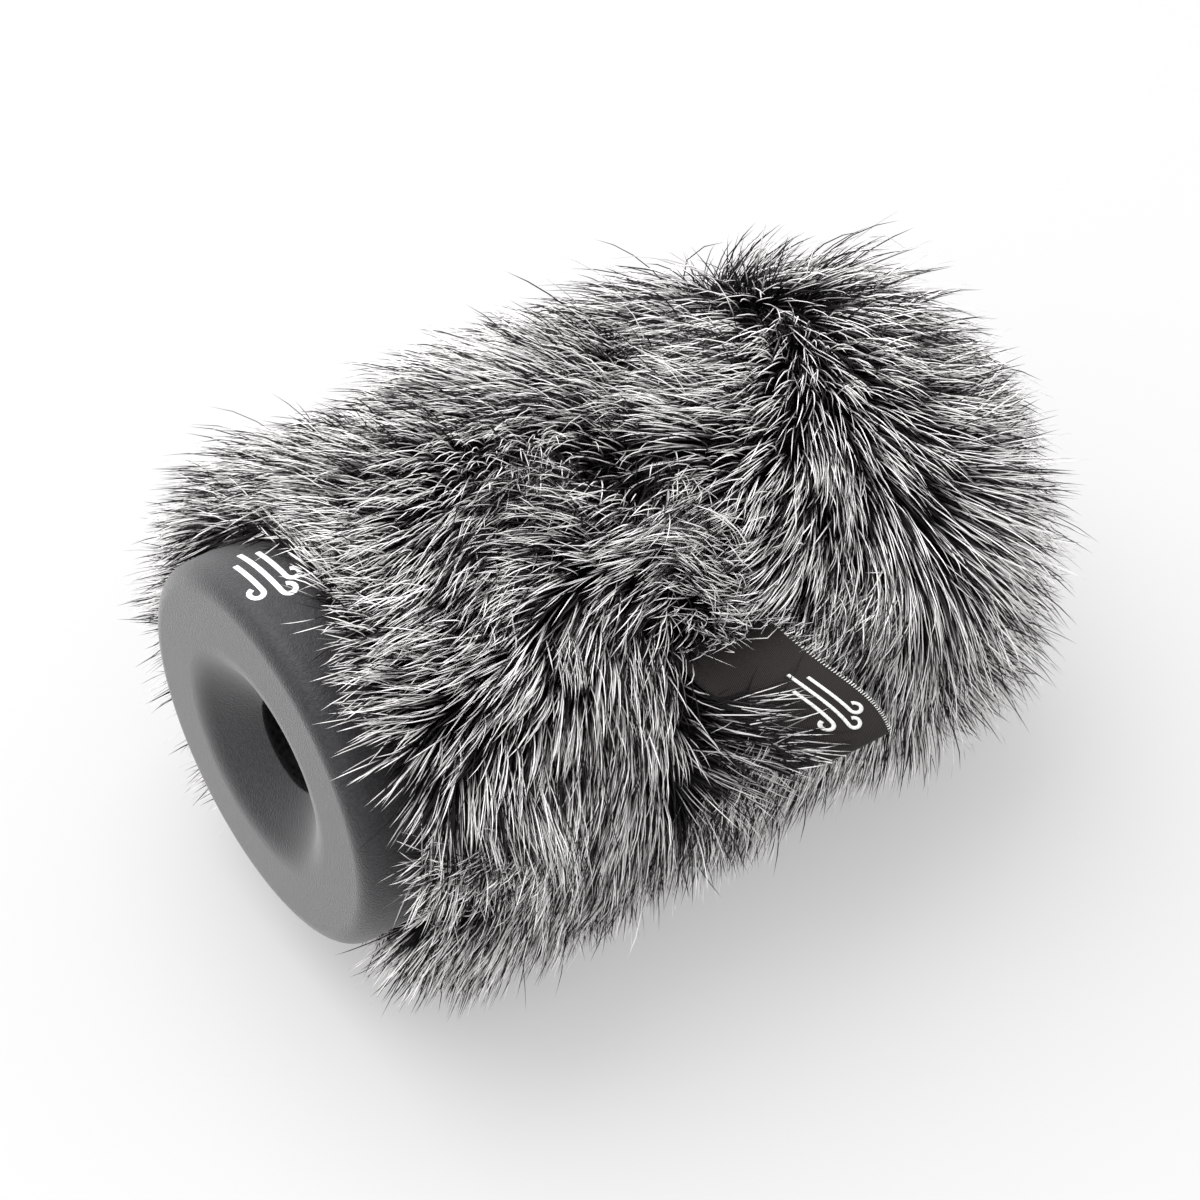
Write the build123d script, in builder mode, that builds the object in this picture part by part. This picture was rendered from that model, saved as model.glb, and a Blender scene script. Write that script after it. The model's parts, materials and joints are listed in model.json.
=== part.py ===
"""Furry slip-on windscreen for a short shotgun microphone, built as its real pieces.

+X runs along the microphone bore into the windscreen, +Z is up and the
windscreen lies on its side. The origin is the centre of the bore's mouth, at
the bottom of the rubber cap's dished recess. All sizes are millimetres.
"""
import os

from build123d import *

# Rubber end cap
bore_radius = 9.0
bore_length = 6.0
grip_wall = 3.0
cap_radius = 35.0
cap_front = -6.5
cap_edge_round = 3.8
recess_radius = 19.0
recess_edge_round = 8.0
cap_shoulder = 15.0
plug_front = 2.0
spigot_radius = 34.0
spigot_end = 30.0
spigot_wall = 3.0

# Ring that keeps the rubber spigot round
ring_depth = 7.0
ring_wall = 2.6

# Foam core
mic_chamber_radius = 10.5
mic_chamber_end = 84.0
foam_radius = 34.0
foam_end = 124.0
foam_corner = 21.0
glue_gap = 0.2

# Sewn cover, measured outwards from the foam
slip_gap = 0.3
lining_thickness = 1.0
fur_depth = 17.0
hem_front = 7.0
hem_corner = 7.0
lining_front = 27.0
nose_seam = 78.0
rest_height = -47.0

# Hem and seams; the side seams run straight along the cover, tilted about the bore
seam_angle = 31.0
binding_front = 17.5
elastic_width = 5.0
elastic_thickness = 0.7
seam_width = 1.6
seam_depth = 0.8

# Woven label, sewn in the right side seam and standing out through the fur
label_station = 62.0
label_width = 18.0
label_thickness = 1.2
label_root_gap = 0.6
label_reach = 20.0
label_tip = 5.0
label_lift = 16.0
pocket_above = 10.0
pocket_below = 36.0
pocket_width = 22.0
stitch_inset = 0.6
stitch_width = 1.2
stitch_thread = 0.4

# Derived sizes
lining_inner = foam_radius + slip_gap
backing_growth = slip_gap + lining_thickness
backing_inner = foam_radius + backing_growth
fur_growth = backing_growth + fur_depth
ring_outer = spigot_radius - spigot_wall
grip_radius = bore_radius + grip_wall
elastic_front = (binding_front + lining_front - elastic_width) / 2
elastic_inner = backing_inner - elastic_thickness
label_root = backing_inner + seam_depth + label_root_gap
far = 200.0

os.makedirs("parts", exist_ok=True)


def tube(front, end, inner, outer):
    """Plain tube, or a rod when inner is zero, along the bore axis."""
    with BuildPart() as ring:
        with BuildSketch(Plane.YZ.offset(front)):
            Circle(outer)
            if inner > 0:
                Circle(inner, mode=Mode.SUBTRACT)
        extrude(amount=end - front)
    return ring.part


def blunt_body(front, growth):
    """The foam's outer shape with its blunt nose, grown evenly outwards."""
    radius = foam_radius + growth
    corner = foam_corner + growth
    end = foam_end + growth
    with BuildPart() as body:
        with BuildSketch(Plane.XZ):
            with BuildLine():
                Line((front, 0), (front, radius))
                Line((front, radius), (end - corner, radius))
                CenterArc((end - corner, radius - corner), corner, 0, 90)
                Line((end, radius - corner), (end, 0))
                Line((end, 0), (front, 0))
            make_face()
        revolve(axis=Axis.X)
    return body.part


def block(low, high, turn=0.0):
    """Plain block between two corners, turned about the bore by an angle."""
    with BuildPart() as box:
        with Locations(low):
            Box(
                high[0] - low[0],
                high[1] - low[1],
                high[2] - low[2],
                align=(Align.MIN, Align.MIN, Align.MIN),
            )
    return box.part.rotate(Axis.X, turn)


def cover_layer(inner_growth, outer_growth, front, end):
    """One even layer of the cover between two stations along the bore."""
    with BuildPart() as layer:
        add(blunt_body(front, outer_growth))
        add(blunt_body(front - 1, inner_growth), mode=Mode.SUBTRACT)
        add(block((front, -far, -far), (end, far, far)), mode=Mode.INTERSECT)
    return layer.part


def save(part, label):
    """Name a finished piece and write it."""
    part.label = label
    export_step(part, f"parts/{label}.step")


# Rubber cap: dished face, hollow rim, grip sleeve round the bore and hem spigot.
cap_section = [
    (cap_front, recess_radius),
    (cap_front, cap_radius),
    (cap_shoulder, cap_radius),
    (cap_shoulder, spigot_radius),
    (spigot_end, spigot_radius),
    (spigot_end, ring_outer),
    (plug_front, ring_outer),
    (plug_front, grip_radius),
    (bore_length, grip_radius),
    (bore_length, bore_radius),
    (0, bore_radius),
]
with BuildPart() as base_cap:
    with BuildSketch(Plane.XZ):
        with BuildLine():
            Polyline(*cap_section, close=True)
        make_face()
    revolve(axis=Axis.X)
    front_rims = base_cap.edges().filter_by(GeomType.CIRCLE).group_by(Axis.X)[0]
    fillet(front_rims.sort_by(SortBy.RADIUS)[-1], cap_edge_round)
    front_rims = base_cap.edges().filter_by(GeomType.CIRCLE).group_by(Axis.X)[0]
    fillet(front_rims.sort_by(SortBy.RADIUS)[0], recess_edge_round)
save(base_cap.part, "base_cap")

# Stiff ring pressed into the spigot, so the hem elastic can't pull it out of round.
spigot_ring = tube(spigot_end - ring_depth, spigot_end, ring_outer - ring_wall, ring_outer)
save(spigot_ring, "spigot_ring")

# Foam plug that fills the hollow rim behind the dished face, round the grip lip.
with BuildPart() as foam_plug:
    add(tube(plug_front + glue_gap, spigot_end, mic_chamber_radius, ring_outer - glue_gap))
    add(
        tube(
            spigot_end - ring_depth - glue_gap,
            spigot_end,
            ring_outer - ring_wall - glue_gap,
            ring_outer,
        ),
        mode=Mode.SUBTRACT,
    )
    add(tube(0, bore_length + glue_gap, 0, grip_radius + glue_gap), mode=Mode.SUBTRACT)
save(foam_plug.part, "foam_plug")

# Foam sleeve round the microphone, and the solid nose that closes the chamber's end.
save(tube(spigot_end, mic_chamber_end, mic_chamber_radius, foam_radius), "foam_sleeve")
save(blunt_body(mic_chamber_end, 0), "foam_nose")

# Cover lining, in a tube and a nose piece.
save(cover_layer(slip_gap, backing_growth, lining_front, nose_seam), "lining_tube")
save(cover_layer(slip_gap, backing_growth, nose_seam, far), "lining_nose")

# Hem binding, folded over the elastic that grips the spigot.
with BuildPart() as hem_binding:
    add(tube(binding_front, lining_front, lining_inner, backing_inner))
    add(
        tube(elastic_front, elastic_front + elastic_width, elastic_inner, backing_inner),
        mode=Mode.SUBTRACT,
    )
save(hem_binding.part, "hem_binding")
hem_elastic = tube(elastic_front, elastic_front + elastic_width, elastic_inner, backing_inner)
save(hem_elastic, "hem_elastic")

# Seam threads between the lining and the fur panels.
seam_growth = backing_growth + seam_depth
ring_front = nose_seam - seam_width / 2
ring_end = nose_seam + seam_width / 2
half_seam = seam_width / 2
seam_ring = cover_layer(backing_growth, seam_growth, ring_front, ring_end)
side_strip = cover_layer(backing_growth, seam_growth, hem_front, ring_front)
nose_strip = cover_layer(backing_growth, seam_growth, ring_end, far)
seam_spaces = {
    "side_seam_left": (side_strip, (0, 0, -half_seam), (far, far, half_seam)),
    "side_seam_right": (side_strip, (0, -far, -half_seam), (far, 0, half_seam)),
    "gore_seam_across": (nose_strip, (0, -far, -half_seam), (far, far, half_seam)),
    "gore_seam_top": (nose_strip, (0, -half_seam, half_seam), (far, half_seam, far)),
    "gore_seam_bottom": (nose_strip, (0, -half_seam, -far), (far, half_seam, -half_seam)),
}
seams = {"nose_seam_ring": seam_ring}
for seam_name, (strip, low, high) in seam_spaces.items():
    with BuildPart() as seam:
        add(strip)
        add(block(low, high, -seam_angle), mode=Mode.INTERSECT)
    seams[seam_name] = seam.part
for seam_name, seam_part in seams.items():
    save(seam_part, seam_name)

# Plane across the label: x down round the cover, y straight outwards from the seam.
label_plane = Plane(
    origin=(label_station, 0, 0),
    x_dir=Vector(0, 0, -1).rotate(Axis.X, -seam_angle),
    z_dir=(-1, 0, 0),
)


def label_bow(growth, thickness):
    """Curved outline of the label, or of thread lying on it, in the label's plane."""
    outer_reach = label_reach + growth
    outer_lift = label_lift + growth
    with Locations((label_reach, label_root)):
        Ellipse(outer_reach, outer_lift)
        Ellipse(outer_reach - thickness, outer_lift - thickness, mode=Mode.SUBTRACT)
        Rectangle(outer_reach, outer_lift, align=(Align.MAX, Align.MIN), mode=Mode.INTERSECT)
    with Locations((label_reach, label_root + outer_lift)):
        Rectangle(label_tip, thickness, align=(Align.MIN, Align.MAX))


# Woven label: it rises from the seam and bends over downwards.
with BuildPart() as woven_label:
    with BuildSketch(label_plane):
        label_bow(0, label_thickness)
    extrude(amount=label_width / 2, both=True)
save(woven_label.part, "woven_label")

# Row of thread along the label's edge on the nose side.
stitch_centre = label_width / 2 - stitch_inset - stitch_width / 2
with BuildPart() as label_stitching:
    with BuildSketch(label_plane.offset(-stitch_centre)):
        label_bow(stitch_thread, stitch_thread)
    extrude(amount=stitch_width / 2, both=True)
save(label_stitching.part, "label_stitching")

# Whole fur layer: rounded at the hem, pressed flat where it rests, open for the label.
with BuildPart() as fur_layer:
    add(blunt_body(hem_front, fur_growth))
    hem_rims = fur_layer.edges().filter_by(GeomType.CIRCLE).group_by(Axis.X)[0]
    fillet(hem_rims, hem_corner)
    add(blunt_body(0, backing_growth), mode=Mode.SUBTRACT)
    add(block((0, -far, rest_height), (far, far, far)), mode=Mode.INTERSECT)
    for seam_part in seams.values():
        add(seam_part, mode=Mode.SUBTRACT)
    with BuildSketch(label_plane):
        with Locations((-pocket_above, label_root - label_root_gap)):
            Rectangle(pocket_above + pocket_below, far, align=(Align.MIN, Align.MIN))
    extrude(amount=pocket_width / 2, both=True, mode=Mode.SUBTRACT)

# Fur panels, cut along the seams.
panel_spaces = {
    "fur_body_upper": ((0, -far, 0), (nose_seam, far, far)),
    "fur_body_lower": ((0, -far, -far), (nose_seam, far, 0)),
    "fur_gore_upper_left": ((nose_seam, 0, 0), (far, far, far)),
    "fur_gore_upper_right": ((nose_seam, -far, 0), (far, 0, far)),
    "fur_gore_lower_left": ((nose_seam, 0, -far), (far, far, 0)),
    "fur_gore_lower_right": ((nose_seam, -far, -far), (far, 0, 0)),
}
for panel_name, (low, high) in panel_spaces.items():
    with BuildPart() as panel:
        add(fur_layer.part)
        add(block(low, high, -seam_angle), mode=Mode.INTERSECT)
    save(panel.part, panel_name)
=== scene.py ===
"""The looks of the furry windscreen: real strands of fur, foam, rubber, label and studio."""

import json
import math

import bpy
import numpy as np
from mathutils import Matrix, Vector
from mathutils.kdtree import KDTree


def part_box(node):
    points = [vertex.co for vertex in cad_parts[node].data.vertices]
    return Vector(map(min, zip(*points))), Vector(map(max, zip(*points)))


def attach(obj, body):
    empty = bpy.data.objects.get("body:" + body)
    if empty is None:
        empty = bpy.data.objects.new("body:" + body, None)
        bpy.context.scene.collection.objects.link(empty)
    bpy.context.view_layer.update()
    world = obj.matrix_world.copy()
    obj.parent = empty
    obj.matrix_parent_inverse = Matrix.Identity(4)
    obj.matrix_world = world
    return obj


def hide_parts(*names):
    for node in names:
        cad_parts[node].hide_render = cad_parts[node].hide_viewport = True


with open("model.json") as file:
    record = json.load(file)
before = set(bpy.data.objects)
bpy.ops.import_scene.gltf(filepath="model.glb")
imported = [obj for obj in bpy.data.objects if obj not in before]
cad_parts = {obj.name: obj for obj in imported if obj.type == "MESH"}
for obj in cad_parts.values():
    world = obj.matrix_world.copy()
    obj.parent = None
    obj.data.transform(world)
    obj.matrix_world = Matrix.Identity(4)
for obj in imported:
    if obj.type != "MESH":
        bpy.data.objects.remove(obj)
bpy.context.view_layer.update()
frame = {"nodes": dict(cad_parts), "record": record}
rng = np.random.default_rng(7)
MM = 0.001

# Places taken from the frame
cap_low, cap_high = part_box("base_cap")
cap_front = cap_low.x
cap_radius = cap_high.z
cap_shoulder = 15.0 * MM
bore = frame["record"]["mounts"][0]["dims"]
bore_radius = bore["r_mm"] * MM
bore_length = bore["length_mm"] * MM
hem_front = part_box("fur_body_upper")[0].x
nose_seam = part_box("lining_tube")[1].x
lining_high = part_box("lining_nose")[1]
backing_radius = lining_high.z
backing_end = lining_high.x
backing_corner = 22.3 * MM
floor_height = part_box("fur_body_lower")[0].z
foam_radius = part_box("foam_sleeve")[1].z
foam_corner = backing_corner - (backing_radius - foam_radius)
chamber_radius = 10.5 * MM
label_hinge = next(j for j in frame["record"]["behaviour"]["joints"] if j["name"] == "label_flip")
label_root = np.array(label_hinge["pos_m"])
label_out = np.array([0.0, label_root[1], label_root[2]]) / np.hypot(label_root[1], label_root[2])
label_down = np.cross(label_out, np.array(label_hinge["axis"]))
seam_turn = math.atan2(label_root[2], -label_root[1])

# Arc lengths along the backing's half section, from the hem to the tip of the nose
straight_length = backing_end - backing_corner - hem_front
corner_length = backing_corner * math.pi / 2
disc_length = backing_radius - backing_corner
backing_length = straight_length + corner_length + disc_length


# ---------------------------------------------------------------- geometry helpers


def unit(vectors):
    """Vectors scaled to length one."""
    return vectors / np.maximum(np.linalg.norm(vectors, axis=-1, keepdims=True), 1e-12)


def smooth(values, low, high):
    """Smooth step from 0 at low to 1 at high."""
    t = np.clip((values - low) / (high - low), 0, 1)
    return t * t * (3 - 2 * t)


def backing_profile(along):
    """Station, radius and outward normal of the backing at an arc length from the hem."""
    turn = np.clip((along - straight_length) / backing_corner, 0, math.pi / 2)
    past = np.clip(along - straight_length - corner_length, 0, disc_length)
    station = hem_front + np.minimum(along, straight_length) + backing_corner * np.sin(turn)
    radius = disc_length + backing_corner * np.cos(turn) - past
    return station, radius, np.sin(turn), np.cos(turn)


def backing_points(along, angle):
    """Points, normals and nose-ward tangents of the backing at arc lengths and angles."""
    station, radius, normal_x, normal_r = backing_profile(along)
    cos, sin = np.cos(angle), np.sin(angle)
    points = np.stack([station, radius * cos, radius * sin], axis=-1)
    normals = np.stack([normal_x, normal_r * cos, normal_r * sin], axis=-1)
    tangents = np.stack([normal_r, -normal_x * cos, -normal_x * sin], axis=-1)
    return points, normals, tangents


def mesh_object(name, points, loops, starts, uvs=None):
    """Smooth-shaded mesh object from flat arrays, with an optional bake layer."""
    mesh = bpy.data.meshes.new(name)
    mesh.vertices.add(len(points))
    mesh.vertices.foreach_set("co", np.asarray(points, np.float32).ravel())
    mesh.loops.add(len(loops))
    mesh.loops.foreach_set("vertex_index", np.asarray(loops, np.int32))
    mesh.polygons.add(len(starts))
    mesh.polygons.foreach_set("loop_start", np.asarray(starts, np.int32))
    mesh.polygons.foreach_set("use_smooth", np.ones(len(starts), bool))
    if uvs is not None:
        layer = mesh.uv_layers.new(name="OFBake")
        layer.data.foreach_set("uv", np.asarray(uvs, np.float32).ravel())
    mesh.update(calc_edges=True)
    mesh.validate()
    obj = bpy.data.objects.new(name, mesh)
    bpy.context.collection.objects.link(obj)
    return obj


def grid_object(name, grid, wrap_rows=False, wrap_columns=False):
    """Mesh of quads over a grid of points, closed along either way if asked."""
    rows, columns = grid.shape[:2]
    index = np.arange(rows * columns).reshape(rows, columns)
    if wrap_rows:
        index = np.vstack([index, index[:1]])
    if wrap_columns:
        index = np.hstack([index, index[:, :1]])
    quads = np.stack([index[:-1, :-1], index[:-1, 1:], index[1:, 1:], index[1:, :-1]], axis=-1)
    quads = quads.reshape(-1, 4)
    starts = np.arange(len(quads)) * 4
    return mesh_object(name, grid.reshape(-1, 3), quads.ravel(), starts)


def revolved(name, section, segments, roughen=0.0):
    """A closed section of (station, radius) pairs, revolved about the bore."""
    section = np.array(section, float)
    angles = np.linspace(0, 2 * math.pi, segments, endpoint=False)
    radius = np.broadcast_to(section[:, 1], (segments, len(section))).copy()
    station = np.broadcast_to(section[:, 0], (segments, len(section))).copy()
    radius += rng.normal(0, 1, radius.shape) * roughen * (radius > 0)
    station += rng.normal(0, 1, station.shape) * roughen * (radius > 0)
    grid = np.stack(
        [station, radius * np.cos(angles)[:, None], radius * np.sin(angles)[:, None]], axis=-1
    )
    return grid_object(name, grid, wrap_rows=True, wrap_columns=True)


def fine_section(corners, step):
    """A closed section with extra points between its corners."""
    corners = np.array(corners, float)
    points = []
    for here, there in zip(corners, np.roll(corners, -1, axis=0)):
        count = max(1, int(np.linalg.norm(there - here) / step))
        points.extend(here + (there - here) * i / count for i in range(count))
    return points


def thicken(obj, thickness, offset=1.0):
    """Give a single surface a real thickness."""
    modifier = obj.modifiers.new("thickness", "SOLIDIFY")
    modifier.thickness = thickness
    modifier.offset = offset
    return obj


# ---------------------------------------------------------------- materials


def base_material(name, roughness, specular=0.5):
    """A material with its principled shader ready."""
    material = bpy.data.materials.new(name)
    material.use_nodes = True
    shader = material.node_tree.nodes["Principled BSDF"]
    shader.inputs["Roughness"].default_value = roughness
    shader.inputs["Specular IOR Level"].default_value = specular
    return material, material.node_tree, shader


def ramp(tree, source, stops):
    """Colour ramp of grey or RGB stops fed by a value socket."""
    node = tree.nodes.new("ShaderNodeValToRGB")
    elements = node.color_ramp.elements
    while len(elements) < len(stops):
        elements.new(0.5)
    for element, (place, colour) in zip(elements, stops):
        element.position = place
        element.color = (*colour, 1.0)
    tree.links.new(source, node.inputs["Fac"])
    return node.outputs["Color"]


def noise(tree, scale, detail=2.0, kind="ShaderNodeTexNoise"):
    """Noise or Voronoi texture in the piece's own metres."""
    coordinates = tree.nodes.new("ShaderNodeTexCoord")
    texture = tree.nodes.new(kind)
    texture.inputs["Scale"].default_value = scale
    if kind == "ShaderNodeTexNoise":
        texture.inputs["Detail"].default_value = detail
    tree.links.new(coordinates.outputs["Object"], texture.inputs["Vector"])
    return texture.outputs[0]


def bump(tree, shader, height, distance, strength):
    """Bump from a height socket."""
    node = tree.nodes.new("ShaderNodeBump")
    node.inputs["Distance"].default_value = distance
    node.inputs["Strength"].default_value = strength
    tree.links.new(height, node.inputs["Height"])
    tree.links.new(node.outputs["Normal"], shader.inputs["Normal"])


def rubber_material():
    """Soft-touch moulded rubber with a fine grain."""
    material, tree, shader = base_material("soft_touch_rubber", 0.5, 0.3)
    shader.inputs["Sheen Weight"].default_value = 0.38
    shader.inputs["Sheen Roughness"].default_value = 0.45
    grain = noise(tree, 1500.0, 4.0)
    skin = ramp(tree, grain, [(0.32, (0.004, 0.004, 0.006)), (0.7, (0.016, 0.015, 0.017))])
    tree.links.new(skin, shader.inputs["Base Color"])
    bump(tree, shader, noise(tree, 3200.0, 2.0), 0.0002, 0.8)
    return material


def foam_material(name, dark, light):
    """Open-cell foam or flock, near black with lighter cell walls."""
    material, tree, shader = base_material(name, 0.9, 0.1)
    cells = noise(tree, 900.0, kind="ShaderNodeTexVoronoi")
    colour = ramp(tree, cells, [(0.0, dark), (0.7, light)])
    tree.links.new(colour, shader.inputs["Base Color"])
    bump(tree, shader, cells, 0.0006, 0.8)
    return material


def cloth_material(name, dark, light, scale, sheen=0.3):
    """Plain dark cloth with a fine knit or weave."""
    material, tree, shader = base_material(name, 0.85, 0.2)
    shader.inputs["Sheen Weight"].default_value = sheen
    coordinates = tree.nodes.new("ShaderNodeTexCoord")
    wave = tree.nodes.new("ShaderNodeTexWave")
    wave.inputs["Scale"].default_value = scale
    wave.inputs["Distortion"].default_value = 1.5
    tree.links.new(coordinates.outputs["Object"], wave.inputs["Vector"])
    colour = ramp(tree, wave.outputs["Fac"], [(0.1, dark), (0.9, light)])
    tree.links.new(colour, shader.inputs["Base Color"])
    bump(tree, shader, wave.outputs["Fac"], 0.0002, 0.6)
    return material


def plastic_material():
    """Plain black moulded plastic."""
    material, tree, shader = base_material("black_plastic", 0.5)
    colour = ramp(
        tree, noise(tree, 400.0), [(0.3, (0.02, 0.02, 0.021)), (0.7, (0.035, 0.035, 0.036))]
    )
    tree.links.new(colour, shader.inputs["Base Color"])
    return material


def thread_material(name, dark, light):
    """Sewing thread, a little uneven in shade."""
    material, tree, shader = base_material(name, 0.7, 0.3)
    colour = ramp(tree, noise(tree, 3000.0), [(0.3, dark), (0.7, light)])
    tree.links.new(colour, shader.inputs["Base Color"])
    return material


def hair_material():
    """Fur strands: dark at the root, and over half of the long ones pale towards the tip."""
    material, tree, shader = base_material("fur_strands", 0.5, 0.15)
    layer = tree.nodes.new("ShaderNodeUVMap")
    layer.uv_map = "OFBake"
    split = tree.nodes.new("ShaderNodeSeparateXYZ")
    tree.links.new(layer.outputs["UV"], split.inputs["Vector"])
    kind = split.outputs["X"]
    along = split.outputs["Y"]
    root_colour = (0.004, 0.0035, 0.0035)
    tip = ramp(
        tree,
        kind,
        [
            (0.0, (0.010, 0.009, 0.009)),
            (0.41, (0.020, 0.018, 0.018)),
            (0.48, (0.60, 0.585, 0.575)),
            (0.72, (0.88, 0.865, 0.855)),
            (1.0, (1.0, 0.99, 0.985)),
        ],
    )
    paleness = ramp(tree, along, [(0.44, (0, 0, 0)), (0.64, (1, 1, 1))])
    mix = tree.nodes.new("ShaderNodeMix")
    mix.data_type = "RGBA"
    mix.inputs["A"].default_value = (*root_colour, 1.0)
    tree.links.new(paleness, mix.inputs["Factor"])
    tree.links.new(tip, mix.inputs["B"])
    tree.links.new(mix.outputs["Result"], shader.inputs["Base Color"])
    return material


def print_material():
    """White pad print."""
    material, tree, shader = base_material("white_print", 0.6, 0.3)
    colour = ramp(
        tree, noise(tree, 1500.0), [(0.3, (0.68, 0.68, 0.68)), (0.7, (0.82, 0.82, 0.82))]
    )
    tree.links.new(colour, shader.inputs["Base Color"])
    return material


rubber = rubber_material()
foam = foam_material("open_cell_foam", (0.004, 0.004, 0.005), (0.035, 0.035, 0.038))
# Black flock for the bore lining, its colour pushed to near black as painted shade for the deep
# bore.
flock_and_shade = foam_material("bore_flock_and_shade", (0.001, 0.001, 0.001), (0.006, 0.006, 0.006))
lining_cloth = cloth_material("lining_knit", (0.012, 0.012, 0.013), (0.03, 0.03, 0.031), 900)
backing_cloth = cloth_material("fur_backing", (0.006, 0.006, 0.006), (0.015, 0.015, 0.015), 700)
tape_cloth = cloth_material("binding_tape", (0.012, 0.012, 0.012), (0.035, 0.035, 0.035), 1400)
label_cloth = cloth_material("label_weave", (0.005, 0.004, 0.004), (0.026, 0.021, 0.019), 1100, 0.06)
black_plastic = plastic_material()
dark_thread = thread_material("dark_thread", (0.01, 0.01, 0.01), (0.04, 0.04, 0.04))
pale_thread = thread_material("pale_thread", (0.45, 0.45, 0.44), (0.8, 0.8, 0.78))
fur = hair_material()
white_print = print_material()


def finish_piece(obj, material, body, slot_name, *replaced):
    """Paint a piece, tie it to its body and let it stand for CAD nodes."""
    obj.data.materials.append(material)
    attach(obj, body)
    if replaced:
        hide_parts(*replaced)
    return obj


def paint_node(node, material):
    """Give a CAD node its material."""
    obj = frame["nodes"][node]
    obj.data.materials.clear()
    obj.data.materials.append(material)


paint_node("base_cap", rubber)
paint_node("spigot_ring", black_plastic)


# ---------------------------------------------------------------- foam core


def blunt_outline(start, end, radius, corner):
    """Outer line of a blunt nose from its straight part to the bore line."""
    turns = np.linspace(0, math.pi / 2, 14)
    rounded = [
        (end - corner + corner * math.sin(t), radius - corner + corner * math.cos(t)) for t in turns
    ]
    return [(start, radius), *rounded]


# Foam and ring sizes that the frame's boxes don't show, and how coarse the cells are
grip_clear_radius = 12.3 * MM
grip_clear_end = 6.3 * MM
ring_wall = 2.8 * MM
glue_gap = 0.2 * MM
cell_step = 1.6 * MM
cell_depth = 0.06 * MM
foam_segments = 150
# Flocking in the bore: gap to the rubber, depth, gap at the inner end, and its grain
flock_gap = 0.02 * MM
flock_depth = 0.35 * MM
flock_stop = 0.3 * MM
flock_grain = 0.04 * MM
flock_step = 0.4 * MM
flock_segments = 220


def add_foam():
    """Foam plug, sleeve and nose with rough open-cell surfaces, and a black flock lining in the bore
    whose near-black colour also paints the shade inside the bore.
    """
    plug_low, plug_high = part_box("foam_plug")
    sleeve_low, sleeve_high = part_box("foam_sleeve")
    nose_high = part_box("foam_nose")[1]
    ring_low, ring_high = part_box("spigot_ring")
    rim = plug_high.z
    ring_front = ring_low.x - glue_gap
    ring_inner = ring_high.z - ring_wall
    sections = {
        "foam_plug": [
            (plug_low.x, grip_clear_radius),
            (plug_low.x, rim),
            (ring_front, rim),
            (ring_front, ring_inner),
            (plug_high.x, ring_inner),
            (plug_high.x, chamber_radius),
            (grip_clear_end, chamber_radius),
            (grip_clear_end, grip_clear_radius),
        ],
        "foam_sleeve": [
            (sleeve_low.x, chamber_radius),
            (sleeve_low.x, foam_radius),
            (sleeve_high.x, foam_radius),
            (sleeve_high.x, chamber_radius),
        ],
        "foam_nose": [
            (sleeve_high.x, 0),
            *blunt_outline(sleeve_high.x, nose_high.x, foam_radius, foam_corner),
            (nose_high.x, 0),
        ],
    }
    for node, corners in sections.items():
        section = fine_section(corners, cell_step)
        piece = revolved(f"{node}_cells", section, foam_segments, roughen=cell_depth)
        finish_piece(piece, foam, "base", "foam", node)
    flock_outer = bore_radius - flock_gap
    flock_inner = bore_radius - flock_depth
    flock_end = bore_length - flock_stop
    corners = [
        (0.5 * MM, flock_inner),
        (0.2 * MM, flock_outer),
        (flock_end, flock_outer),
        (flock_end, flock_inner),
    ]
    # The flock lining is real, and its near-black colour also paints the shade inside the bore.
    section = fine_section(corners, flock_step)
    flock_and_shade_lining = revolved("bore_flocking_and_shade", section, flock_segments, roughen=flock_grain)
    finish_piece(flock_and_shade_lining, flock_and_shade, "base", "foam")


add_foam()


# ---------------------------------------------------------------- cover cloth, hem and seams


cloth_thickness = 0.7 * MM
backing_gap = 0.15 * MM
lining_gap = 0.1 * MM


def cloth_panel(name, along_range, angle_range, growth, thickness, rows, columns):
    """Part of the backing's surface as a cloth with real thickness, and its flat area."""
    along = np.linspace(*along_range, rows)
    angle = np.linspace(*angle_range, columns)
    points, normals, _ = backing_points(*np.meshgrid(along, angle, indexing="ij"))
    panel = grid_object(name, points + normals * growth)
    radius = backing_profile(along)[1]
    steps = np.diff(along) * (radius[1:] + radius[:-1]) / 2
    area = float(steps.sum()) * (angle_range[1] - angle_range[0])
    width = float(radius.max()) * (angle_range[1] - angle_range[0])
    return thicken(panel, thickness), (width, along_range[1] - along_range[0]), area


seam_along = nose_seam - hem_front
quarter = math.pi / 2
body_run = (0, seam_along)
nose_run = (seam_along, backing_length)
# Where each panel lies along the cover, and the quarter turns it covers from the left side seam
panel_spans = {
    "fur_body_upper": (body_run, (0, 2)),
    "fur_body_lower": (body_run, (2, 4)),
    "fur_gore_upper_left": (nose_run, (0, 1)),
    "fur_gore_upper_right": (nose_run, (1, 2)),
    "fur_gore_lower_right": (nose_run, (2, 3)),
    "fur_gore_lower_left": (nose_run, (3, 4)),
}


def add_backings():
    """Knitted backs of the six fur panels."""
    backings = {}
    for node, (along_range, turns) in panel_spans.items():
        angle_range = (turns[0] * quarter - seam_turn, turns[1] * quarter - seam_turn)
        panel, flat, area = cloth_panel(
            f"{node}_backing", along_range, angle_range, backing_gap, cloth_thickness, 40, 50
        )
        finish_piece(panel, backing_cloth, "cover", "fur", node)
        backings[node] = (panel, flat, area)
    return backings


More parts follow.
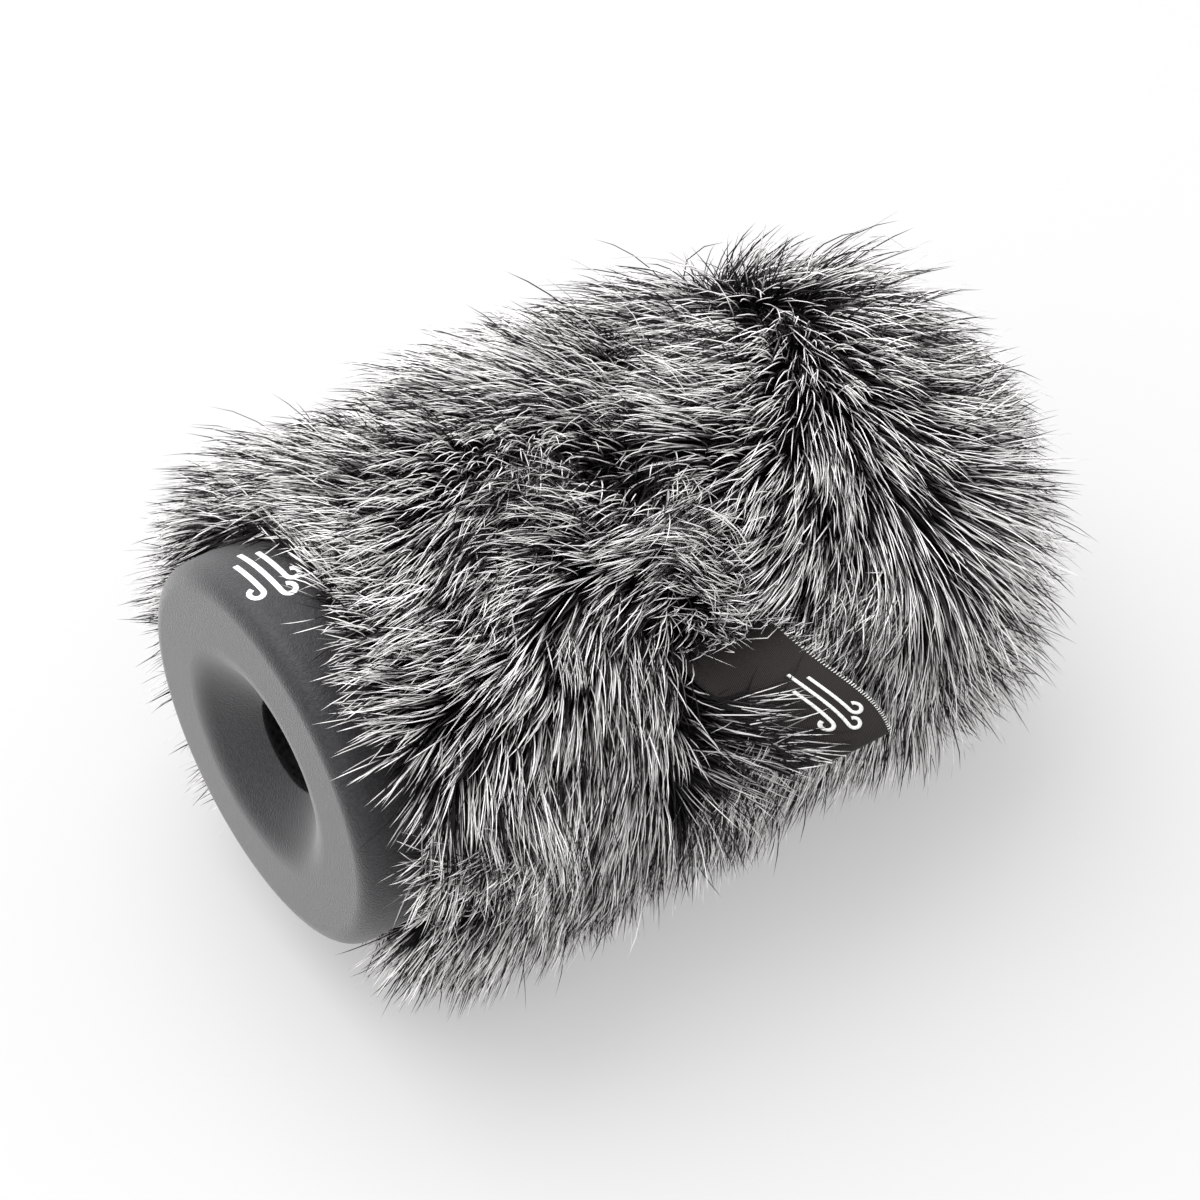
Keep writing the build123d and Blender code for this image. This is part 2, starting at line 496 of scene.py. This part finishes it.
def add_linings():
    """Mesh lining inside the fur panels."""
    lining_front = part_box("lining_tube")[0].x - hem_front
    full_turn = (0, 2 * math.pi)
    spans = {"lining_tube": (lining_front, seam_along), "lining_nose": (seam_along, backing_length)}
    for node, along_range in spans.items():
        lining, flat, area = cloth_panel(
            f"{node}_knit", along_range, full_turn, -lining_gap, cloth_thickness, 50, 150
        )
        lining.modifiers["thickness"].offset = -1.0
        finish_piece(lining, lining_cloth, "cover", "lining", node)


rib_count = 16
rib_depth = 0.1 * MM
slip_gap = 0.3 * MM
braid_count = 12
braid_depth = 0.08 * MM
braid_top = 0.2 * MM
braid_bottom = 0.5 * MM


def add_hem():
    """Folded binding tape with the braided elastic inside it."""
    low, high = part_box("hem_binding")
    inner = foam_radius + slip_gap
    stations = np.linspace(low.x, high.x, rib_count)
    top = [(x, high.z - rib_depth * (i % 2)) for i, x in enumerate(stations)]
    bottom = [(x, inner + rib_depth * (i % 2)) for i, x in enumerate(stations[::-1])]
    binding = revolved("hem_binding_tape", top + bottom, 200)
    finish_piece(binding, tape_cloth, "cover", "binding", "hem_binding")
    low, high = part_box("hem_elastic")
    stations = np.linspace(low.x, high.x, braid_count)
    top = [(x, high.z - braid_top - braid_depth * (i % 2)) for i, x in enumerate(stations)]
    bottom = [(x, high.z - braid_bottom) for x in stations[::-1]]
    elastic = revolved("hem_elastic_braid", top + bottom, 120)
    finish_piece(elastic, tape_cloth, "cover", "elastic", "hem_elastic")
    return [binding, elastic]


def tube_points(paths, radii, sides=3):
    """Vertices, loops, face starts for tapered tubes along many equal-length paths."""
    count, knots, _ = paths.shape
    tangents = unit(np.gradient(paths, axis=1))
    hint = unit(rng.normal(size=(count, 1, 3)))
    side = unit(hint - (hint * tangents).sum(-1, keepdims=True) * tangents)
    third = np.cross(tangents, side)
    turns = np.arange(sides) * 2 * math.pi / sides
    ring = (
        side[:, :, None] * np.cos(turns)[:, None] + third[:, :, None] * np.sin(turns)[:, None]
    ) * radii[:, :, None, None]
    rings = (paths[:, :, None] + ring)[:, :-1]
    body = rings.reshape(count, -1, 3)
    points = np.concatenate([body, paths[:, -1:]], axis=1)
    per_strand = points.shape[1]
    quads = []
    for knot in range(knots - 2):
        for i in range(sides):
            j = (i + 1) % sides
            low, high = knot * sides, (knot + 1) * sides
            quads.append([low + i, low + j, high + j, high + i])
    last = (knots - 2) * sides
    tips = [[last + i, last + (i + 1) % sides, per_strand - 1] for i in range(sides)]
    loops = np.array([v for face in quads + tips for v in face])
    sizes = np.array([4] * len(quads) + [3] * len(tips))
    starts = np.concatenate([[0], np.cumsum(sizes)[:-1]])
    offsets = np.arange(count)
    all_loops = (loops[None] + offsets[:, None] * per_strand).ravel()
    all_starts = (starts[None] + offsets[:, None] * len(loops)).ravel()
    knot_of_vertex = np.append(np.repeat(np.arange(knots - 1), sides), knots - 1)
    return points.reshape(-1, 3), all_loops, all_starts, knot_of_vertex[loops]


def strand_object(name, paths, radii, kinds=None, reach=1.0):
    """Mesh of tapered strands; its bake layer holds each strand's kind and the way along it."""
    points, loops, starts, knots = tube_points(paths, radii)
    uvs = None
    if kinds is not None:
        along = knots / (paths.shape[1] - 1) * reach
        uvs = np.stack(
            [
                np.repeat(kinds, len(knots)),
                np.tile(along, len(paths)),
            ],
            axis=-1,
        )
    return mesh_object(name, points, loops, starts, uvs)


# Stitches: pitch, height over the backing, share of the pitch each one covers, and thread radius
stitch_pitch = 2.4 * MM
stitch_lift = 0.95 * MM
stitch_share = 0.9
stitch_radius = 0.22 * MM


def stitch_row(name, along, angle, lift, length, radius):
    """Row of stitches between neighbouring points of a line on the backing."""
    points, normals, _ = backing_points(along, angle)
    points = points + normals * lift
    start, end = points[:-1], points[1:]
    bow = normals[:-1] * radius
    paths = np.stack(
        [
            start + (end - start) * 0.05,
            start + (end - start) * 0.3 + bow,
            start + (end - start) * 0.7 + bow,
            start + (end - start) * length,
        ],
        axis=1,
    )
    radii = np.broadcast_to(np.array([0.8, 1.0, 1.0, 0.6]) * radius, paths.shape[:2])
    return strand_object(name, paths, radii)


def add_seams():
    """Stitches of the side, ring and gore seams."""
    side = np.arange(0.5 * MM, seam_along - MM, stitch_pitch)
    nose = np.arange(seam_along + MM, backing_length - MM, stitch_pitch)
    turn = np.linspace(0, 2 * math.pi, int(2 * math.pi * backing_radius / stitch_pitch))
    across = np.concatenate([nose, nose[::-1]])
    across_turns = np.repeat([0, 2], len(nose))
    lines = {
        "side_seam_left": (side, np.zeros(len(side))),
        "side_seam_right": (side, np.full(len(side), 2)),
        "nose_seam_ring": (np.full(len(turn), seam_along), turn / quarter),
        "gore_seam_across": (across, across_turns),
        "gore_seam_top": (nose, np.full(len(nose), 1)),
        "gore_seam_bottom": (nose, np.full(len(nose), 3)),
    }
    rows = []
    for node, (along, turns) in lines.items():
        angle = turns * quarter - seam_turn
        row = stitch_row(
            f"{node}_stitches", along, angle, stitch_lift, stitch_share, stitch_radius
        )
        rows.append(finish_piece(row, dark_thread, "cover", "seam_thread", node))
    return rows


backings = add_backings()
add_linings()
trims = add_hem() + add_seams()


# ---------------------------------------------------------------- fur

# Partings: station, angle above the -Y side in degrees, how strongly hair leans away and how much
# darker its guard hairs are painted there as shade
partings = [
    (65, 79, 1.0),
    (45, 76, 0.9),
    (56, 28, 0.8),
    (55, 6, 0.9),
    (80, 106, 0.7),
    (110, 80, 0.3),
    (40, 200, 0.8),
    (75, 240, 0.9),
    (95, 160, 0.9),
    (30, 120, 0.6),
]
parting_reach = 9.0
parting_push = 0.75
# Patches as station, angle above the -Y side and reach: hair that lies flat over the far
# shoulder of the nose, hair that is ruffled up over the label's lower edge, and a fuller back
flat_patch = (104, 130, 26)
ruffled_patch = (57, 8, 11)
raised_patch = (78, 140, 18)
# Hair on the body sags, and hair on the nose lies over to one side
body_lean = np.array([0.0, 0.0, -1.0])
nose_lean = np.array([0.0, -0.85, -0.6])
# The same angle where hem hair is held back most, and its spread: on top, and underneath
hem_top = (92, 42)
hem_underside = (-80, 50)
strand_knots = 7
guide_count = 1700
guard_count = 56000
underfur_count = 34000
piece_limit = 5600


def noise_waves(count, size):
    """Random plane waves that add up to a slow wander."""
    directions = unit(rng.normal(size=(count, 3)))
    return directions * (2 * math.pi / size), rng.uniform(0, 2 * math.pi, count)


def wander(points, waves):
    """Value of a slow wander at points, about -1 to 1."""
    directions, phases = waves
    return np.sin(points @ directions.T + phases).sum(-1) / math.sqrt(len(phases) / 2) / 2


wave_count = 9
swirl_waves = noise_waves(wave_count, 60 * MM)
curl_waves = noise_waves(wave_count, 26 * MM)
lift_waves = noise_waves(wave_count, 30 * MM)
length_waves = noise_waves(wave_count, 22 * MM)


def scatter_roots(count):
    """Roots spread evenly over the backing: arc lengths and angles."""
    table = np.linspace(0.4 * MM, backing_length, 400)
    radius = backing_profile(table)[1]
    share = np.cumsum(radius)
    along = np.interp(rng.uniform(0, share[-1], count), share, table)
    return along, rng.uniform(0, 2 * math.pi, count)


def patch(points, station, degrees, reach):
    """Offsets from the centre of a patch on the cover, and a weight that fades over its reach."""
    angle = math.pi - math.radians(degrees)
    centre = [station * MM, backing_radius * math.cos(angle), backing_radius * math.sin(angle)]
    away = points - np.array(centre)
    distance = np.linalg.norm(away, axis=-1)
    return away, np.exp(-((distance / (reach * MM)) ** 2))


def angular_weight(angles, centre, spread):
    """Weight that fades away from an angle, in degrees."""
    return np.exp(-((((angles - centre + 180) % 360 - 180) / spread) ** 2))


def comb(points, normals, tangents):
    """Combed direction in the backing's surface, nearness to the nose and to a parting."""
    nose = smooth(points[:, 0], nose_seam + 6 * MM, backing_end - 8 * MM)
    over_nose = smooth(points[:, 0], backing_end - 33 * MM, backing_end - 8 * MM)
    sag = 0.12 + 0.35 * smooth(points[:, 2], -10 * MM, 25 * MM)
    pull = sag[:, None] * (1 - over_nose)[:, None] * body_lean + over_nose[:, None] * nose_lean
    pull = pull - (normals * pull).sum(-1, keepdims=True) * normals
    flow = tangents * (1.6 * over_nose - 1)[:, None] + pull
    turn = 0.6 * wander(points, swirl_waves) + 0.8 * wander(points, curl_waves)
    direction = flow * np.cos(turn)[:, None] + np.cross(normals, flow) * np.sin(turn)[:, None]
    parted = np.zeros(len(points))
    for station, degrees, strength in partings:
        away, weight = patch(points, station, degrees, parting_reach)
        away -= (away * normals).sum(-1, keepdims=True) * normals
        direction = direction + parting_push * strength * weight[:, None] * unit(away)
        parted = np.maximum(parted, strength * weight)
    ruffled = patch(points, *ruffled_patch)[1][:, None]
    direction = direction * (1 - ruffled) + 1.3 * ruffled * tangents
    return unit(direction), nose, parted


def grow(along, angle, length, wildness):
    """Strand paths from their roots, knot by knot."""
    points, normals, tangents = backing_points(along, angle)
    direction, nose, parted = comb(points, normals, tangents)
    lift = np.clip(0.9 + 0.3 * wander(points, lift_waves), 0.4, 1.6)
    lift = lift * (1 - 0.7 * patch(points, *flat_patch)[1])
    ruffled = patch(points, *ruffled_patch)[1]
    raised = patch(points, *raised_patch)[1]
    lift = lift + 0.5 * ruffled + 0.35 * raised
    wildness = wildness * (1 + 1.3 * parted + 0.6 * nose)[:, None]
    length = length * (1 - 0.3 * parted + 0.08 * nose + 0.22 * ruffled + 0.1 * raised)
    own = rng.normal(size=points.shape) * wildness
    bend = rng.normal(size=points.shape) * wildness * 0.5
    hem = smooth(hem_front + 17 * MM - points[:, 0], 0, 14 * MM)
    degrees = np.degrees(np.arctan2(points[:, 2], -points[:, 1]))
    top = angular_weight(degrees, *hem_top)
    underside = angular_weight(degrees, *hem_underside)
    held_back = hem * np.maximum(np.maximum(top, underside), 0.3)
    direction[:, 0] *= 1 - 0.75 * held_back
    length = length * (1 - 0.55 * held_back)
    lift = lift * (1 - hem * rng.uniform(0.1, 0.9, len(points)))
    step = (length / (strand_knots - 1))[:, None]
    paths = [points]
    for knot in range(strand_knots - 1):
        t = (knot + 0.5) / (strand_knots - 1)
        rise = lift * (1.35 - 0.85 * t)
        heading = (
            normals * rise[:, None]
            + direction * (0.6 + 0.5 * t)
            + own * 0.7
            + bend * (t - 0.3)
            + np.array([0.0, 0.0, -0.15 * t])
        )
        paths.append(paths[-1] + unit(heading) * step)
    return np.stack(paths, axis=1), parted


label_half = 9.0 * MM
label_cover = -3.5 * MM
label_length = 25.0 * MM
label_rise = 16.0 * MM
label_bow = 20.0 * MM


def label_skew(reach):
    """How far the label has swung towards the nose at a reach from its seam."""
    return 10 * MM * smooth(reach, 1 * MM, label_length)


def label_height(reach):
    """Height of the label's outer face above its root at a reach from its seam."""
    t = np.clip(reach / label_bow, 0, 1)
    return label_rise * np.sqrt(np.maximum(1 - (1 - t) ** 2, 0))


def label_surface(reach, across):
    """Height of the label's outer face with its waves, its nose-side edge standing proudest."""
    wave = 0.35 * MM * np.sin(across / label_half * 2.3)
    dip = 3.2 * MM * smooth(-across, -1 * MM, label_half)
    return label_height(reach) * (1 + (wave - dip) / label_rise)


hair_over_cap = 0.8 * MM
hair_over_cloth = 0.6 * MM
hair_over_floor = 0.35 * MM
pressed_depth = 6 * MM
pressed_layer = 1.6 * MM
label_under_gap = 1.5 * MM
label_over_gap = 1.9 * MM


def clear_cap(paths):
    """Push strands out of the cap, and out of the cloth they grow from."""
    radius = np.hypot(paths[..., 1], paths[..., 2])
    over_cap = paths[..., 0] < cap_shoulder + 3 * MM
    least = np.where(over_cap, cap_radius + hair_over_cap, backing_radius + hair_over_cloth)
    wall = np.where(paths[..., 0] > backing_end - backing_corner, 0, least)
    push = np.maximum(wall / np.maximum(radius, 1e-6), 1.0)
    paths[..., 1] *= push
    paths[..., 2] *= push


def clear_label(paths):
    """Push strands over the label where they lie across it, and under it elsewhere."""
    offset = paths - label_root
    outward = offset @ label_out
    reach = offset @ label_down
    across = offset[..., 0] - label_skew(reach)
    roof = label_surface(np.clip(reach, 0, label_length), across) - label_under_gap
    inside = (np.abs(across) < label_half + 0.6 * MM) & (reach > 0.8 * MM)
    inside &= reach < label_length + 1.0 * MM
    over_label = patch(paths[:, 0], *ruffled_patch)[1] > 0.55
    over_label &= across[:, 0] < -label_half
    over_label |= (reach[:, 0] < 0) & (across[:, -1] < label_cover)
    shift = np.where(
        over_label[:, None],
        np.maximum(roof + label_over_gap - outward, 0),
        -np.maximum(outward - np.maximum(roof, 0.3 * MM), 0),
    )
    paths += (inside * shift)[..., None] * label_out


def clear_floor(paths):
    """Press strands that would pass through the floor into a thin layer on it."""
    depth = floor_height + hair_over_floor - paths[..., 2]
    layer = (1 - np.exp(-np.maximum(depth, 0) / pressed_depth)) * pressed_layer
    pressed = floor_height + hair_over_floor + layer * 0.5
    paths[..., 2] = np.where(depth > 0, pressed, paths[..., 2])


def keep_clear(paths):
    """Strands stay out of the cap, the label and the floor."""
    clear_cap(paths)
    clear_label(paths)
    clear_floor(paths)
    return paths


guard_taper = np.array([1.0, 1.0, 0.95, 0.9, 0.82, 0.68, 0.0])
underfur_taper = np.array([1.0, 0.95, 0.75, 0.0])
guard_wildness = 0.30
guide_wildness = 0.20
underfur_wildness = 0.45
stray_share = 0.15
stray_tightness = 0.05
hair_of_panel = {}


def add_fur():
    """Long guard hairs in tufts over a dense dark underfur, panel by panel."""
    guide_along, guide_angle = scatter_roots(guide_count)
    guide_roots = backing_points(guide_along, guide_angle)[0]
    guide_length = (21.5 + 3 * wander(guide_roots, length_waves)) * MM
    guide_length *= rng.uniform(0.88, 1.12, guide_count)
    guides, _ = grow(guide_along, guide_angle, guide_length, guide_wildness)
    tree = KDTree(guide_count)
    for i, root in enumerate(guide_roots):
        tree.insert(root, i)
    tree.balance()

    along, angle = scatter_roots(guard_count)
    roots = backing_points(along, angle)[0]
    nearest = np.array([tree.find(root)[1] for root in roots])
    length = guide_length[nearest] * rng.uniform(0.72, 1.12, guard_count)
    paths, parted = grow(along, angle, length, guard_wildness)
    t = np.linspace(0, 1, strand_knots)[None, :, None]
    tightness = rng.uniform(0.15, 0.6, guide_count)[nearest]
    stray = rng.uniform(size=guard_count) < stray_share
    tightness = np.where(stray, stray_tightness, tightness)[:, None, None]
    gathered = guides[nearest] + (roots - guide_roots[nearest])[:, None] * (1 - 0.82 * t)
    pull = tightness * t**0.8
    paths = keep_clear(paths * (1 - pull) + gathered * pull)
    kinds = 0.85 * rng.uniform(size=guard_count) + 0.15 * rng.uniform(size=guide_count)[nearest]
    # Guard hairs near a parting get more dark tips: painted shade for the gap the parting opens.
    kinds = kinds * (1 - 0.35 * parted)
    width = rng.uniform(0.10, 0.17, guard_count) * MM
    add_panels("guard_hair", paths, width[:, None] * guard_taper, kinds, along, angle, 1.0)

    along, angle = scatter_roots(underfur_count)
    short = rng.uniform(8, 14, underfur_count) * MM
    paths = keep_clear(grow(along, angle, short, underfur_wildness)[0][:, ::2])
    kinds = rng.uniform(size=underfur_count)
    width = rng.uniform(0.12, 0.2, underfur_count) * MM
    add_panels("underfur", paths, width[:, None] * underfur_taper, kinds, along, angle, 0.3)


def add_panels(kind_name, paths, radii, kinds, along, angle, reach):
    """Sort strands to the fur panels they grow from and make their meshes."""
    turns = (angle + seam_turn) % (2 * math.pi) / quarter
    for node, (along_range, turn_range) in panel_spans.items():
        chosen = (along >= along_range[0]) & (along < along_range[1])
        chosen &= (turns >= turn_range[0]) & (turns < turn_range[1])
        members = np.flatnonzero(chosen)
        for part, first in enumerate(range(0, len(members), piece_limit)):
            some = members[first : first + piece_limit]
            name = f"{node}_{kind_name}_{part + 1}"
            piece = strand_object(name, paths[some], radii[some], kinds[some], reach)
            finish_piece(piece, fur, "cover", "fur")
            hair_of_panel.setdefault(node, []).append(piece)


add_fur()


# ---------------------------------------------------------------- label and marks

wind_lines = [(-0.75, 0.30, 0.45), (-1.0, 0.0, 0.80), (-0.6, -0.30, 0.55)]


def wind_mark(size, steps=26):
    """Three gusts of wind, each a line that ends in a curl, as flat paths."""
    gusts = []
    for start, height, end in wind_lines:
        curl = 0.15 if height >= 0 else -0.15
        line = np.linspace([start, height], [end, height], steps // 2)
        turn = np.linspace(0, 1.45 * math.pi, steps // 2)[1:]
        arc = np.stack(
            [end + abs(curl) * np.sin(turn), height + curl * (1 - np.cos(turn))], axis=-1
        )
        gusts.append(np.vstack([line, arc]) * size)
    return gusts


def ribbon(name, line, width, place, height):
    """Raised ribbon along a flat path; place turns flat points and a height into space."""
    tangent = unit(np.gradient(line, axis=0))
    side = np.stack([-tangent[:, 1], tangent[:, 0]], axis=-1) * width / 2
    rows = [
        place(line + side, 0.0),
        place(line + side * 0.85, height),
        place(line - side * 0.85, height),
        place(line - side, 0.0),
    ]
    return grid_object(name, np.stack(rows, axis=1), wrap_columns=True)


# Marks: how long, how wide and how high their lines are
cap_mark = (8.0 * MM, 1.0 * MM, 0.04 * MM)
label_mark = (6.6 * MM, 0.7 * MM, 0.12 * MM)
# Label cloth, the gap inside its fold, and the threads along its nose-side edge
label_thickness = 0.35 * MM
fold_gap = 0.9 * MM
thread_count = 56
thread_radii = np.array([0.10, 0.12, 0.10, 0.0]) * MM


def add_cap_print():
    """Generic wind mark printed on the cap's side."""
    centre = (cap_front + 8.2 * MM, math.pi - math.radians(102))

    def on_cap(flat, height):
        station = centre[0] + flat[:, 1]
        angle = centre[1] + flat[:, 0] / cap_radius
        radius = cap_radius + 0.01 * MM + height
        return np.stack([station, radius * np.cos(angle), radius * np.sin(angle)], axis=-1)

    size, width, height = cap_mark
    for number, line in enumerate(wind_mark(size)):
        piece = ribbon(f"cap_print_{number + 1}", line, width, on_cap, height)
        finish_piece(piece, white_print, "base", "rubber")


def place_on_label(reach, across, rise):
    """Point at a reach from the label's seam, across its width and above its root."""
    station = across + label_skew(reach)
    shape = np.broadcast(reach, across, rise).shape
    spread = [np.broadcast_to(value, shape)[..., None] for value in (station, reach, rise)]
    forward = np.array([1.0, 0.0, 0.0])
    return label_root + spread[0] * forward + spread[1] * label_down + spread[2] * label_out


def add_label():
    """Folded woven label with an embroidered mark and a frayed thread edge."""
    down_front = label_bow * (1 - np.cos(np.linspace(0, math.pi / 2, 16)))
    front = np.append(down_front, [label_length * 0.9, label_length])
    back = front[::-1]
    reach = np.concatenate([front, [label_length + 0.4 * MM], back])[:, None]
    drop = np.concatenate([0 * front, [0.45 * MM], 0 * back + fold_gap])[:, None]
    across = np.linspace(-label_half, label_half, 30)[None]
    rise = label_surface(reach, across) - drop * smooth(reach, 0, 6 * MM)
    grid = place_on_label(reach, across, rise)
    label = thicken(grid_object("woven_label_cloth", grid), label_thickness, offset=0.0)
    finish_piece(label, label_cloth, "label", "label_fabric", "woven_label")

    def on_label(flat, height):
        reach = 15.4 * MM + flat[:, 0]
        across = 2.6 * MM + flat[:, 1]
        return place_on_label(reach, across, label_surface(reach, across) + 0.22 * MM + height)

    size, width, height = label_mark
    for number, line in enumerate(wind_mark(size)):
        mark = ribbon(f"label_mark_{number + 1}", line, width, on_label, height)
        finish_piece(mark, pale_thread, "label", "label_thread")
    reach = np.linspace(0.6 * MM, label_length, thread_count)
    fray = rng.normal(size=(thread_count, 4, 3)) * np.array([0.0, 0.02, 0.04, 0.2])[:, None] * MM
    steps = [(-0.6, 0.22), (-0.25, 0.32), (0.15, 0.1), (0.35, -0.2)]
    knots = [
        place_on_label(
            reach,
            label_half + across * MM,
            label_surface(reach, label_half + across * MM) + lift * MM,
        )
        for across, lift in steps
    ]
    radii = np.broadcast_to(thread_radii, (thread_count, 4))
    fringe = strand_object("label_edge_thread", np.stack(knots, axis=1) + fray, radii)
    finish_piece(fringe, pale_thread, "label", "label_thread", "label_stitching")


add_cap_print()
add_label()


# ---------------------------------------------------------------- studio


floor_size = 6.0
floor_grey = 0.25
floor_glow = 0.38
world_strength = 1.45


def add_floor():
    """Pale seamless floor under the windscreen."""
    near, far = -floor_size, floor_size
    corners = np.array([[[near, near, 0], [far, near, 0]], [[near, far, 0], [far, far, 0]]])
    floor = grid_object("studio_floor", corners + np.array([0, 0, floor_height]))
    material, _, shader = base_material("studio_white", 0.9, 0.1)
    shader.inputs["Base Color"].default_value = (floor_grey,) * 3 + (1.0,)
    shader.inputs["Emission Color"].default_value = (1.0, 1.0, 1.0, 1.0)
    shader.inputs["Emission Strength"].default_value = floor_glow
    floor.data.materials.append(material)


def add_light(name, place, aim, size, power):
    """Soft square light aimed at a point."""
    light = bpy.data.lights.new(name, "AREA")
    light.size = size
    light.energy = power
    obj = bpy.data.objects.new(name, light)
    bpy.context.collection.objects.link(obj)
    obj.location = place
    obj.rotation_euler = (Vector(aim) - Vector(place)).to_track_quat("-Z", "Y").to_euler()


def add_camera(aim, azimuth, elevation, distance, lens):
    """Camera looking at a point from an azimuth and elevation in degrees."""
    turn, rise = math.radians(azimuth), math.radians(elevation)
    forward = Vector(
        (math.sin(turn) * math.cos(rise), math.cos(turn) * math.cos(rise), -math.sin(rise))
    )
    data = bpy.data.cameras.new("studio_camera")
    data.lens = lens
    data.sensor_width = 36.0
    data.clip_end = 50.0
    camera = bpy.data.objects.new("studio_camera", data)
    bpy.context.collection.objects.link(camera)
    camera.location = aim - forward * distance
    camera.rotation_euler = forward.to_track_quat("-Z", "Y").to_euler()
    bpy.context.scene.camera = camera


def add_world():
    """Even white surroundings."""
    world = bpy.data.worlds.new("studio_world")
    world.use_nodes = True
    background = world.node_tree.nodes["Background"]
    background.inputs["Color"].default_value = (1.0, 1.0, 1.0, 1.0)
    background.inputs["Strength"].default_value = world_strength
    bpy.context.scene.world = world


camera_aim = Vector((cap_front + 57.9 * MM, -16.7 * MM, 18.8 * MM))
add_floor()
add_world()
add_light("key_light", (-0.12, 0.38, 1.0), camera_aim, 1.1, 17.5)
add_light("front_light", (-0.8, -0.35, 0.95), camera_aim, 0.8, 2.6)
add_camera(camera_aim, 34.7, 45.7, 600 * MM, 108.4)
bpy.context.scene.view_settings.view_transform = "Standard"
